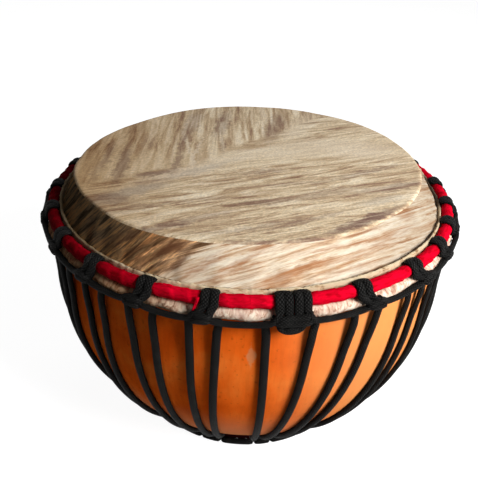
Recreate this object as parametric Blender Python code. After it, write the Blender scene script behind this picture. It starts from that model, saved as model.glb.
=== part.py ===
"""Bara drum: a bowl-shaped shell with a laced goatskin head. Metres, +Z up, the front is -Y."""
import math

import bmesh
import bpy
from mathutils import Vector

# Rings and hoop
RING_RADIUS = 0.150
RING_HEIGHT = 0.193
RING_ROD = 0.0030
RING_CLOTH = 0.0012
HOOP_ROD = 0.0022
BASE_ROD = 0.0016
BASE_CLOTH = 0.0005

# Head
SKIN = 0.0012
HEAD_RISE = 0.0243
BEARING_RADIUS = 0.1278
EDGE_ROUND = 0.0010
LIP_RISE = 0.0025
LIP_FOOT = 0.0018
COLLAR_GAP = 0.0024

# Shell
SHELL_WALL = 0.010
BELLY_SWELL = 0.0038
BELLY_DROP = 0.0538
UNDERSIDE_FLAT = 0.010
KNUCKLE_RADIUS = 0.060
KNUCKLE_START = math.radians(45)
KNUCKLE_END = math.radians(72)
FOOT_RADIUS = 0.036

# Cords
CORD_RADIUS = 0.0024
CORD_GAP = 0.0006
STRAND_GAP = 0.0006
LEG_SPREAD = 0.0030
# Bends of a loop round the crown ring: degrees over level, and reach in closest reaches
LOOP_BENDS = ((-25, 1.29), (50, 1.29), (124, 1.15))
RUN_LIFT = 0.0034
HUG_SAG = 0.0014
HOOK_DRIFT = 0.0002
HOOK_POINTS = 6
HOOK_STEP = 51
CROWN_KNOT_WIDTH = 0.017
CROWN_KNOT_DEPTH = 0.0085
CROWN_KNOT_THICKNESS = 0.0055
LACE_KNOT_LENGTH = 0.005
LACE_KNOT_RADIUS = 0.0030

# Azimuths of the loops in degrees, 0 at the front and growing towards +X
FRONT_STATIONS = (-88.5, -74.0, -57.5, -41.0, -24.5, -9.0, 9.0, 26.5, 43.5, 57.5, 70.5, 83.0, 96.5)
BACK_STATIONS = 10
DOUBLE_STATION = 9.0
DOUBLE_SPREAD = 2.3
# How far the upper and lower ends of each front pair of strands stand off its loop, in degrees
UPPER_PULLS = (0, 0, -1, -2, -2.5, -1.7, 0.5, 3.0, 4.0, 3.0, 2.0, 1.0, 0)
LOWER_PULLS = (0, 0.5, 1, 2, 2, -3, -3.7, -12.5, -14, -11, -7, -3.5, -1)
PAIR_SPREAD = 3.4
DOUBLE_PAIR_SPREAD = 5.7
BASE_SPREAD = 1.9

FIT = 0.0003
SEGMENTS = 40
ROD_SIDES = 6
WRAP_SIDES = 8
SLIT = math.radians(12)
SLIT_SIDE = math.radians(225)
SAMPLE_STEP = 0.0012
CELL = 0.008

WRAP_OUT = RING_ROD + FIT + RING_CLOTH
HOOP_OUT = HOOP_ROD + 2 * FIT + SKIN
HOOP_MID = HOOP_OUT - SKIN / 2
HOOP_DROP = WRAP_OUT + FIT + HOOP_OUT
LIP_RADIUS = RING_RADIUS - WRAP_OUT - FIT - SKIN / 2
BASE_OUT = BASE_ROD + FIT + BASE_CLOTH
SEAT_RADIUS = RING_RADIUS - HOOP_OUT - FIT
BELLY_RADIUS = SEAT_RADIUS + BELLY_SWELL


def paint(obj, colour, roughness, metallic=0.0):
    """Gives an object its own material."""
    material = bpy.data.materials.new(obj.name)
    material.use_nodes = True
    shader = material.node_tree.nodes["Principled BSDF"]
    shader.inputs["Base Color"].default_value = (*colour, 1.0)
    shader.inputs["Roughness"].default_value = roughness
    shader.inputs["Metallic"].default_value = metallic
    obj.data.materials.append(material)


def add_mesh(name, bm):
    """Turns a bmesh into an object with its faces pointing out."""
    bmesh.ops.recalc_face_normals(bm, faces=bm.faces)
    mesh = bpy.data.meshes.new(name)
    bm.to_mesh(mesh)
    bm.free()
    mesh.shade_smooth()
    mesh.set_sharp_from_angle(angle=math.radians(50))
    obj = bpy.data.objects.new(name, mesh)
    bpy.context.scene.collection.objects.link(obj)
    return obj


def turned(name, section):
    """Spins a closed outline of (radius, height) points round the drum's axis."""
    bm = bmesh.new()
    verts = [bm.verts.new((radius, 0.0, height)) for radius, height in section]
    edges = []
    for start, end in zip(verts, verts[1:] + verts[:1]):
        if start.co.x > 0 or end.co.x > 0:
            edges.append(bm.edges.new((start, end)))
    axis = {"cent": (0, 0, 0), "axis": (0, 0, 1), "angle": math.tau}
    bmesh.ops.spin(bm, geom=verts + edges, steps=SEGMENTS, use_merge=True, **axis)
    bmesh.ops.remove_doubles(bm, verts=bm.verts, dist=1e-6)
    return add_mesh(name, bm)


def circle(centre, radius, sides, start=0.0):
    """A round section as (radius, height) points."""
    turns = [start + math.tau * i / sides for i in range(sides)]
    return [(centre[0] + radius * math.cos(a), centre[1] + radius * math.sin(a)) for a in turns]


def offset(points, distance):
    """Moves a line of (radius, height) points sideways, to the right of its own direction."""
    moved = []
    for i, point in enumerate(points):
        here = Vector(point)
        before = (here - Vector(points[i - 1])).normalized() if i else None
        after = (Vector(points[i + 1]) - here).normalized() if i < len(points) - 1 else None
        before = before or after
        after = after or before
        way = (before + after).normalized()
        stretch = 1.0 / max(0.5, way.dot(after))
        moved.append((here.x + way.y * distance * stretch, here.y - way.x * distance * stretch))
    return moved


def place(azimuth, radius, height):
    """A point at an azimuth in degrees, 0 at the front."""
    angle = math.radians(azimuth)
    return Vector((radius * math.sin(angle), -radius * math.cos(angle), height))


def near_ring(azimuth, along, out, rise):
    """A point near the crown ring: a distance along it, outwards from it and up from it."""
    return place(azimuth + math.degrees(along / RING_RADIUS), RING_RADIUS + out, RING_HEIGHT + rise)


def head_line():
    """Middle of the skin from the centre of the head to its raw edge."""
    line = [
        (0.0, HEAD_RISE),
        (BEARING_RADIUS - EDGE_ROUND, HEAD_RISE),
        (BEARING_RADIUS + EDGE_ROUND / 2, HEAD_RISE - EDGE_ROUND),
        (LIP_RADIUS - COLLAR_GAP, 0.0),
        (LIP_RADIUS - COLLAR_GAP / 2, -HOOP_DROP / 2),
    ]
    for turn in (180, 225, 270, 315, 360, 405, 450, 495):
        angle = math.radians(turn)
        line.append((RING_RADIUS + HOOP_MID * math.cos(angle), -HOOP_DROP + HOOP_MID * math.sin(angle)))
    line.append((LIP_RADIUS, -LIP_FOOT))
    line.append((LIP_RADIUS, LIP_RISE))
    return [(radius, RING_HEIGHT + rise) for radius, rise in line]


def seat_line():
    """Outside of the shell where the skin lies on it, from the bearing edge to the hoop."""
    line = offset(head_line()[:7], SKIN / 2 + FIT)[1:6]
    line[-1] = (SEAT_RADIUS, RING_HEIGHT - HOOP_DROP)
    return line


def bowl_line():
    """Outside of the shell under the hoop, as (radius, height, angle of its face under level)."""
    centre = RING_HEIGHT - BELLY_DROP
    rise = BELLY_DROP - HOOP_DROP
    upper = rise / math.sqrt(1 - (SEAT_RADIUS / BELLY_RADIUS) ** 2)
    lower = centre + UNDERSIDE_FLAT
    line = []
    first = math.asin(rise / upper)
    for i in range(1, 4):
        turn = first * (i / 3 - 1)
        face = math.atan2(math.sin(turn) / upper, math.cos(turn) / BELLY_RADIUS)
        line.append((BELLY_RADIUS * math.cos(turn), centre - upper * math.sin(turn), face))
    last = math.atan(math.tan(KNUCKLE_START) * lower / BELLY_RADIUS)
    for i in range(1, 7):
        turn = last * i / 6
        face = math.atan2(math.sin(turn) / lower, math.cos(turn) / BELLY_RADIUS)
        line.append((BELLY_RADIUS * math.cos(turn), centre - lower * math.sin(turn), face))
    hub_radius = line[-1][0] - KNUCKLE_RADIUS * math.cos(KNUCKLE_START)
    hub_height = line[-1][1] + KNUCKLE_RADIUS * math.sin(KNUCKLE_START)
    for i in range(1, 3):
        face = KNUCKLE_START + (KNUCKLE_END - KNUCKLE_START) * i / 2
        radius = hub_radius + KNUCKLE_RADIUS * math.cos(face)
        line.append((radius, hub_height - KNUCKLE_RADIUS * math.sin(face), face))
    return line


def lifted(point, distance):
    """A point at a distance off the bowl's outside."""
    radius, height, face = point
    return radius + distance * math.cos(face), height - distance * math.sin(face)


BOWL = bowl_line()
BASE_LIFT = BASE_OUT + 2 * CORD_GAP + 2 * CORD_RADIUS
BASE_CENTRE = lifted(BOWL[-1], BASE_LIFT)
BAR_OUT = BOWL[0][0] + CORD_RADIUS + CORD_GAP - RING_RADIUS
BAR_DROP = HOOP_DROP + HOOP_OUT + CORD_GAP + CORD_RADIUS
RUN_OUT = BAR_OUT + 2 * CORD_RADIUS + 1.5 * CORD_GAP
RUN_DROP = BAR_DROP - RUN_LIFT


def make_shell():
    seat = seat_line()
    outside = [point[:2] for point in BOWL]
    foot = [(FOOT_RADIUS, 0.0), (0.0, 0.0)]
    inner_top = (seat[0][0] - SHELL_WALL, seat[0][1])
    inside_walk = offset([seat[2]] + [seat[-1]] + outside[2::2] + foot[:1], SHELL_WALL)
    inside = [(0.0, SHELL_WALL)] + inside_walk[::-1] + [inner_top]
    inside[1] = (FOOT_RADIUS, SHELL_WALL)
    obj = turned("shell", seat + outside + foot + inside)
    paint(obj, (0.62, 0.19, 0.035), 0.35)


def make_head():
    line = head_line()
    section = offset(line, SKIN / 2) + offset(line, -SKIN / 2)[::-1]
    paint(turned("drum_head", section), (0.62, 0.50, 0.36), 0.6)


def make_rod(name, centre, radius):
    obj = turned(name, circle(centre, radius, ROD_SIDES))
    paint(obj, (0.25, 0.24, 0.23), 0.45, 1.0)


def make_wrap(name, centre, inner, outer, colour):
    """A cloth sleeve round a ring, open along a slit on its hidden side."""
    turns = [SLIT_SIDE + SLIT / 2]
    turns += [SLIT_SIDE + math.tau * i / WRAP_SIDES for i in range(1, WRAP_SIDES)]
    turns.append(SLIT_SIDE + math.tau - SLIT / 2)
    outside = [(centre[0] + outer * math.cos(a), centre[1] + outer * math.sin(a)) for a in turns]
    inside = [(centre[0] + inner * math.cos(a), centre[1] + inner * math.sin(a)) for a in turns]
    paint(turned(name, outside + inside[::-1]), colour, 0.8)


def tube(name, points):
    """A cord as one unbroken tube."""
    curve = bpy.data.curves.new(name, "CURVE")
    curve.dimensions = "3D"
    spline = curve.splines.new("POLY")
    spline.points.add(len(points) - 1)
    for target, point in zip(spline.points, points):
        target.co = (*point, 1.0)
    curve.bevel_depth = CORD_RADIUS
    curve.bevel_resolution = 1
    curve.use_fill_caps = True
    obj = bpy.data.objects.new(name, curve)
    bpy.context.scene.collection.objects.link(obj)
    paint(obj, (0.012, 0.014, 0.013), 0.7)
    print(name, "least gap to itself", round(1000 * least_gap(points), 2), "mm")


def least_gap(points):
    """Least gap of a cord to itself, between stretches over four diameters apart along it."""
    samples = []
    travelled = 0.0
    for start, end in zip(points, points[1:]):
        length = (end - start).length
        steps = max(1, math.ceil(length / SAMPLE_STEP))
        samples += [(travelled + length * i / steps, start.lerp(end, i / steps)) for i in range(steps)]
        travelled += length
    cells = {}
    for run, point in samples:
        cells.setdefault(tuple(math.floor(c / CELL) for c in point), []).append((run, point))
    least = 1.0
    for (x, y, z), inside in cells.items():
        near = []
        for dx in (-1, 0, 1):
            for dy in (-1, 0, 1):
                for dz in (-1, 0, 1):
                    near += cells.get((x + dx, y + dy, z + dz), [])
        for run, point in inside:
            for other_run, other in near:
                if abs(run - other_run) > 4 * 2 * CORD_RADIUS:
                    least = min(least, (point - other).length - 2 * CORD_RADIUS)
    return least


def stations():
    """Azimuths of all loop places, the double one first."""
    back_start = FRONT_STATIONS[-1]
    back_step = (360 + FRONT_STATIONS[0] - back_start) / (BACK_STATIONS + 1)
    back = [back_start + back_step * i for i in range(1, BACK_STATIONS + 1)]
    ring = [a for a in FRONT_STATIONS if a >= DOUBLE_STATION] + back
    return ring + [a + 360 for a in FRONT_STATIONS if a < DOUBLE_STATION]


def loop_side(azimuth, along):
    """One strand of a loop, from the front of the crown ring over to its inner shoulder."""
    close = WRAP_OUT + CORD_GAP + CORD_RADIUS
    points = []
    for turn, stretch in LOOP_BENDS:
        angle = math.radians(turn)
        out = close * stretch * math.cos(angle)
        points.append(near_ring(azimuth, along, out, close * stretch * math.sin(angle)))
    return points


def loop(azimuth):
    """One loop over the crown ring: up the left strand and down the right one."""
    half = CORD_RADIUS + STRAND_GAP / 2
    return loop_side(azimuth, -half) + loop_side(azimuth, half)[::-1]


def crown_cord_points():
    """All loops in turn, with a run under the hoop from each to the next."""
    half = CORD_RADIUS + STRAND_GAP / 2
    places = stations()
    azimuths = [places[0] + DOUBLE_SPREAD] + places[1:] + [places[0] + 360 - DOUBLE_SPREAD]
    leg_out = max(WRAP_OUT, HOOP_OUT) + CORD_GAP + CORD_RADIUS
    points = [near_ring(azimuths[0], -half, leg_out, -RUN_DROP)]
    for i, azimuth in enumerate(azimuths):
        if i:
            points.append(near_ring(azimuth, -half - LEG_SPREAD, RUN_OUT, -RUN_DROP))
        points += loop(azimuth)
        if i < len(azimuths) - 1:
            points.append(near_ring(azimuth, half + LEG_SPREAD, RUN_OUT, -RUN_DROP))
    points.append(near_ring(azimuths[-1], half, leg_out, -RUN_DROP))
    return points


def pulls(station):
    """How far the lacing's upper and lower ends stand off a station."""
    azimuth = (station + 180) % 360 - 180
    for front, upper, lower in zip(FRONT_STATIONS, UPPER_PULLS, LOWER_PULLS):
        if abs(front - azimuth) < 0.1:
            return upper, lower
    return 0.0, 0.0


def strand(station, side):
    """One strand of lacing from the bar under a loop to the run on the bottom ring."""
    double = abs(station - DOUBLE_STATION) < 1e-6
    upper, lower = pulls(station)
    top = station + upper + side * (DOUBLE_PAIR_SPREAD if double else PAIR_SPREAD)
    bottom = station + lower + side * BASE_SPREAD
    route = [(RING_RADIUS + BAR_OUT, RING_HEIGHT - BAR_DROP)]
    hug = BOWL[1:9:2] + BOWL[9:10]
    lift = CORD_RADIUS + CORD_GAP + HUG_SAG
    route += [lifted(point, lift) for point in hug]
    first, last = route[0][1], BASE_CENTRE[1]
    points = []
    for radius, height in route:
        share = (first - height) / (first - last)
        points.append(place(top + (bottom - top) * share, radius, height))
    contact = math.pi - KNUCKLE_END
    close = BASE_OUT + CORD_GAP + CORD_RADIUS
    wide = (close + FIT) / math.cos(math.radians(HOOK_STEP / 2))
    hook = [(HOOK_STEP * i, wide if i else close) for i in range(HOOK_POINTS)]
    for i, (turn, reach) in enumerate(hook):
        angle = contact + math.radians(turn)
        radius = BASE_CENTRE[0] + reach * math.cos(angle)
        height = BASE_CENTRE[1] + reach * math.sin(angle)
        drift = side * HOOK_DRIFT * i
        points.append(place(bottom + math.degrees(drift / BASE_CENTRE[0]), radius, height))
    return points


def lacing_points():
    """Up and down at each station, along the bottom ring between them, tied off at the back."""
    places = stations()
    split = min(range(len(places)), key=lambda i: abs(places[i] - 180)) + 1
    points = []
    for station in places[split:] + places[:split]:
        points += strand(station, -1)[::-1]
        points += strand(station, 1)
    middle = (points[0] + points[-1]) / 2
    along = (points[-1] - points[0]).normalized()
    reach = LACE_KNOT_LENGTH / 2 + CORD_GAP
    return [middle - along * reach] + points + [middle + along * reach], middle, along


def make_crown_knot():
    """Half-round knot under the double loop, flat on top where the two ends enter it."""
    top = -RUN_DROP - FIT
    inner = BAR_OUT + CORD_RADIUS + CORD_GAP
    bm = bmesh.new()
    outline = [math.pi + math.pi * i / 8 for i in range(9)]
    verts = []
    for angle in outline:
        along = CROWN_KNOT_WIDTH / 2 * math.cos(angle)
        rise = top + CROWN_KNOT_DEPTH * math.sin(angle)
        verts.append(bm.verts.new(near_ring(DOUBLE_STATION, along, inner, rise)))
    face = bm.faces.new(verts)
    made = bmesh.ops.extrude_face_region(bm, geom=[face])
    way = place(DOUBLE_STATION, CROWN_KNOT_THICKNESS, 0.0)
    moved = [item for item in made["geom"] if isinstance(item, bmesh.types.BMVert)]
    bmesh.ops.translate(bm, verts=moved, vec=way)
    paint(add_mesh("crown_knot", bm), (0.012, 0.014, 0.013), 0.7)


def make_lacing_knot(middle, along):
    """Barrel knot between the two ends of the lacing."""
    bm = bmesh.new()
    sides = {"radius1": LACE_KNOT_RADIUS, "radius2": LACE_KNOT_RADIUS, "segments": 10}
    bmesh.ops.create_cone(bm, cap_ends=True, depth=LACE_KNOT_LENGTH, **sides)
    turn = along.to_track_quat("Z", "Y").to_matrix()
    bmesh.ops.rotate(bm, verts=bm.verts, cent=(0, 0, 0), matrix=turn)
    bmesh.ops.translate(bm, verts=bm.verts, vec=middle)
    paint(add_mesh("lacing_knot", bm), (0.012, 0.014, 0.013), 0.7)


def main():
    for obj in list(bpy.data.objects):
        bpy.data.objects.remove(obj)
    ring_centre = (RING_RADIUS, RING_HEIGHT)
    hoop_centre = (RING_RADIUS, RING_HEIGHT - HOOP_DROP)
    make_shell()
    make_head()
    make_rod("crown_ring", ring_centre, RING_ROD)
    make_wrap("crown_ring_wrap", ring_centre, RING_ROD + FIT, WRAP_OUT, (0.60, 0.005, 0.03))
    make_rod("flesh_hoop", hoop_centre, HOOP_ROD)
    make_rod("bottom_ring", BASE_CENTRE, BASE_ROD)
    make_wrap("bottom_ring_wrap", BASE_CENTRE, BASE_ROD + FIT, BASE_OUT, (0.05, 0.006, 0.008))
    tube("crown_cord", crown_cord_points())
    make_crown_knot()
    points, middle, along = lacing_points()
    tube("lacing_cord", points)
    make_lacing_knot(middle, along)


main()
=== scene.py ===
import math
from math import cos, radians, sin

import bpy
import numpy as np
from mathutils import Matrix, Vector, noise


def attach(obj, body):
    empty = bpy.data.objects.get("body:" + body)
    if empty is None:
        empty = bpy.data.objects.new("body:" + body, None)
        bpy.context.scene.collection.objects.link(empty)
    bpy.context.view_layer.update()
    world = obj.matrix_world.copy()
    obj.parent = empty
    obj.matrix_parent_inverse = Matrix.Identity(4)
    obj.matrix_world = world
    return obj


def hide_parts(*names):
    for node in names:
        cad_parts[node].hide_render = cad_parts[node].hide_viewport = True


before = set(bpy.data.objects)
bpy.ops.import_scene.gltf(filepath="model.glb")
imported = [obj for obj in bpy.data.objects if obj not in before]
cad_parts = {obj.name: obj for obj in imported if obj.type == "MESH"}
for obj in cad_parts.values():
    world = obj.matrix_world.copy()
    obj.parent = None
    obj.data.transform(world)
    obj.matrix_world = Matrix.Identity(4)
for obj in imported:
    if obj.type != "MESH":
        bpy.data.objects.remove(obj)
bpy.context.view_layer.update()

WHITE = (1.0, 1.0, 1.0)

# Sizes of the frame, in metres
RING_RADIUS = 0.150
RING_HEIGHT = 0.193
WRAP_OUT = 0.0045
HOOP_OUT = 0.0040
HOOP_DROP = 0.0088
SKIN = 0.0012
HEAD_RISE = 0.0243
LIP_RADIUS = 0.1446
COLLAR_FOOT = 0.1422
SEAT_RADIUS = 0.1457
SHELL_WALL = 0.010
BELLY_RADIUS = 0.1495
BELLY_DROP = 0.0538
UNDERSIDE_FLAT = 0.010
KNUCKLE_RADIUS = 0.060
KNUCKLE_START = radians(45)
KNUCKLE_END = radians(72)
HOOK_TURN = 214
FOOT_RADIUS = 0.036
CORD = 0.0024
GAP = 0.0006
BASE_OUT = 0.0024

# Camera, fitted to the rings and the outline
VIEW_TILT = radians(31.2)
VIEW_ROLL = radians(1.46)
VIEW_TARGET = (-0.051 * RING_RADIUS, 0, RING_HEIGHT - 0.372 * RING_RADIUS)
VIEW_DISTANCE = 3.5 * RING_RADIUS
FOCAL_PIXELS = 629.3
IMAGE_HEIGHT = 500
SENSOR = 36

# Lacing, in degrees round the drum, where 0 is the front. A pull moves the strands of a station sideways.
FRONT_STATIONS = (-88.5, -74.0, -57.5, -41.0, -24.5, -9.0, 9.0, 26.5, 43.5, 57.5, 70.5, 83.0, 96.5)
UPPER_PULLS = (0, 0, -1, -2, -2.5, -1.7, 0.5, 3.0, 4.0, 3.0, 2.0, 1.0, 0)
LOWER_PULLS = (0, 0.5, 1, 2, 2, -3, -3.7, -12.5, -14, -11, -7, -3.5, -1)
BACK_STATIONS = 10
DOUBLE_STATION = 9.0
PAIR_SPREAD = 3.4
DOUBLE_PAIR_SPREAD = 5.7
BASE_SPREAD = 1.72
FIRST_LOOP = 2.5
LAST_LOOP = -1.7
LEAN = 1.25

# Crown cord, and its cross turns by their drop, distance out and radius
LEG_SPREAD = 0.0046
LOOP_THIN = 0.0014
PRESSED = 0.0034
CROSS_TURNS = ((0.0066, 0.0078, 0.0021), (0.0101, 0.0081, 0.0022))
DOUBLE_EXTRA = 0.0062

# Radius of the skin at the bearing edge, and numbers of points round the drum
EDGE_RADIUS = 0.1286
SKIN_SEGMENTS = 720
SHELL_SEGMENTS = 192

# Pitches of the braid and the weave, and where the loose end of the red strip hangs, in degrees
BRAID_PITCH = 0.0042
BRAID_STRANDS = 4
CLOTH_PITCH = 0.0011
TAIL_AZIMUTH = -12.4

# Marks on the skin: middle, direction in degrees, half length, half width and depth
HEAD_DARK = (
    (0.075, -0.091, 36, 0.028, 0.004, 1.0), (0.063, -0.101, 31, 0.019, 0.003, 0.9),
    (0.105, -0.040, 28, 0.020, 0.005, 0.75), (0.087, -0.047, 21, 0.021, 0.004, 0.5),
    (-0.054, -0.107, 25, 0.024, 0.0035, 0.8), (-0.030, -0.093, 24, 0.019, 0.003, 0.5),
    (0.010, -0.070, 15, 0.028, 0.0035, 0.65), (0.051, -0.054, 23, 0.028, 0.005, 0.5),
    (-0.025, 0.079, 84, 0.030, 0.006, 0.65), (0.021, 0.077, 80, 0.033, 0.008, 0.6),
    (-0.097, -0.011, 91, 0.033, 0.0045, 0.85), (-0.056, 0.025, 91, 0.036, 0.0025, 0.55),
    (-0.056, -0.007, 85, 0.022, 0.003, 0.65), (-0.070, -0.028, 22, 0.013, 0.0035, 0.9),
    (-0.051, 0.077, 84, 0.033, 0.0065, 0.6), (0.089, -0.014, 28, 0.031, 0.0025, 0.6),
    (0.077, -0.024, 27, 0.017, 0.002, 0.5), (0.029, -0.121, 15, 0.023, 0.0025, 0.75),
    (-0.001, -0.124, 2, 0.024, 0.002, 0.6), (-0.111, 0.002, 91, 0.026, 0.0035, 0.65),
    (-0.114, -0.029, 91, 0.016, 0.003, 0.4), (-0.096, -0.076, 55, 0.011, 0.006, 0.45),
    (-0.067, -0.079, 13, 0.017, 0.0025, 0.5), (-0.038, -0.070, 15, 0.021, 0.0025, 0.4),
    (0.008, -0.021, 15, 0.018, 0.0035, 0.45), (0.037, -0.094, 28, 0.032, 0.002, 0.55),
    (0.005, -0.104, 22, 0.028, 0.0025, 0.5), (-0.023, -0.113, 11, 0.025, 0.002, 0.4),
    (0.035, -0.039, 13, 0.030, 0.0025, 0.4), (-0.096, -0.072, -12, 0.020, 0.008, 0.5),
    (-0.085, -0.087, 12, 0.016, 0.005, 0.45), (-0.023, 0.032, 91, 0.018, 0.002, 0.5),
)
HEAD_PALE = (
    (-0.049, -0.025, 28, 0.030, 0.008, 0.75), (-0.072, -0.042, 35, 0.023, 0.0055, 0.5),
    (0.076, 0.030, -8, 0.040, 0.019, 0.6), (0.039, 0.024, 19, 0.040, 0.015, 0.5),
    (-0.050, 0.022, 102, 0.036, 0.0015, 0.85), (-0.043, 0.018, 81, 0.027, 0.0015, 0.75),
    (-0.045, -0.006, 94, 0.014, 0.002, 0.8), (0.043, 0.081, 69, 0.038, 0.0085, 0.4),
    (-0.013, 0.004, 32, 0.025, 0.010, 0.4), (-0.083, -0.057, 30, 0.021, 0.006, 0.55),
    (-0.106, 0.031, 89, 0.037, 0.0045, 0.35), (-0.083, 0.037, 89, 0.038, 0.0045, 0.35),
)
COLLAR_DARK = (
    (-0.051, -0.094, 43, 0.016, 0.0055, 0.9), (-0.044, -0.108, 59, 0.014, 0.003, 0.7),
    (-0.062, -0.104, 41, 0.015, 0.004, 0.7), (-0.056, -0.116, 39, 0.012, 0.003, 0.5),
    (-0.080, -0.081, 38, 0.021, 0.0065, 0.45), (-0.069, -0.091, 46, 0.019, 0.004, 0.5),
)
COLLAR_TAN = (
    (0.029, -0.111, 32, 0.026, 0.003, 1.0), (0.017, -0.124, 38, 0.022, 0.0045, 1.0),
    (-0.007, -0.106, 45, 0.024, 0.0025, 0.8), (-0.016, -0.121, 36, 0.027, 0.0025, 0.75),
    (0.051, -0.103, 25, 0.030, 0.0025, 0.8), (0.054, -0.085, 22, 0.026, 0.002, 0.6),
    (0.005, -0.132, 33, 0.018, 0.002, 0.5), (0.071, -0.107, 27, 0.022, 0.0035, 0.5),
    (0.102, -0.039, -62, 0.012, 0.0075, 0.6), (0.093, -0.068, 39, 0.023, 0.0055, 0.5),
    (0.081, -0.083, 28, 0.018, 0.0035, 0.45), (-0.025, -0.102, 48, 0.019, 0.0015, 0.4),
    (-0.033, -0.117, 45, 0.021, 0.0025, 0.75), (0.035, -0.127, 24, 0.024, 0.002, 0.5),
    (-0.028, -0.085, 14, 0.018, 0.0025, 0.6), (-0.038, -0.091, 40, 0.013, 0.003, 0.6),
)
COLLAR_CREAM = (
    (-0.028, -0.112, 59, 0.019, 0.0045, 0.6), (0.002, -0.097, 28, 0.024, 0.0035, 0.6),
    (0.041, -0.090, 25, 0.021, 0.0035, 0.6), (0.011, -0.114, 37, 0.022, 0.003, 0.5),
    (0.057, -0.113, 28, 0.021, 0.0035, 0.6), (0.081, -0.063, 43, 0.016, 0.004, 0.4),
    (0.109, -0.080, 51, 0.018, 0.004, 0.3), (-0.007, -0.124, 37, 0.016, 0.003, 0.4),
    (0.055, -0.119, 25, 0.020, 0.005, 0.9), (0.070, -0.084, 24, 0.020, 0.0035, 0.6),
)
COLLAR_GOLD = (
    (-0.084, -0.106, 56, 0.039, 0.001, 0.7), (-0.077, -0.110, 58, 0.037, 0.001, 0.6),
    (-0.069, -0.109, 55, 0.036, 0.001, 0.7), (-0.062, -0.114, 58, 0.037, 0.001, 0.6),
    (-0.092, -0.094, 53, 0.031, 0.001, 0.5), (-0.057, -0.118, 53, 0.019, 0.001, 0.5),
    (-0.089, -0.084, 47, 0.014, 0.0015, 0.4),
)
HEAD_GREY = (
    (-0.083, -0.060, 32, 0.026, 0.0065, 0.6), (-0.096, -0.073, 26, 0.015, 0.006, 0.45),
    (0.088, -0.063, 23, 0.018, 0.0045, 0.4), (-0.038, -0.020, 38, 0.033, 0.0045, 0.3),
)
EDGE_TURNS = (-170, -158, -149, -139, -129, -118, -107, -94, -80, -65, -50, -38, -28, -14, -3,
              8, 20, 33, 47, 60, 75, 90, 106, 121, 132, 141, 152, 162, 175)
EDGE_DRIFT = (1.0, 0.5, -0.5, -2.5, -3.0, -1.0, 1.0, 2.5, 4.5, 3.5, 2.0, 2.5, 0.5, -1.5, -3.5,
              -4.5, -3.5, -3.5, -4.0, -2.0, -1.0, 0.0, 0.0, 1.0, 2.0, 1.5, 0.5, 1.5, 0.5)


# Camera

def make_camera():
    """The photograph's view of the drum."""
    back = Vector((0, -cos(VIEW_TILT), sin(VIEW_TILT)))
    side = Vector((1, 0, 0))
    top = back.cross(side)
    right = cos(VIEW_ROLL) * side + sin(VIEW_ROLL) * top
    up = -sin(VIEW_ROLL) * side + cos(VIEW_ROLL) * top
    data = bpy.data.cameras.new("camera")
    data.lens = FOCAL_PIXELS / IMAGE_HEIGHT * SENSOR
    data.sensor_width = SENSOR
    data.clip_start = 0.01
    camera = bpy.data.objects.new("camera", data)
    bpy.context.scene.collection.objects.link(camera)
    spot = Vector(VIEW_TARGET) + VIEW_DISTANCE * back
    camera.matrix_world = Matrix((
        (right.x, up.x, back.x, spot.x),
        (right.y, up.y, back.y, spot.y),
        (right.z, up.z, back.z, spot.z),
        (0, 0, 0, 1),
    ))
    bpy.context.scene.camera = camera


# Nodes

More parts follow.
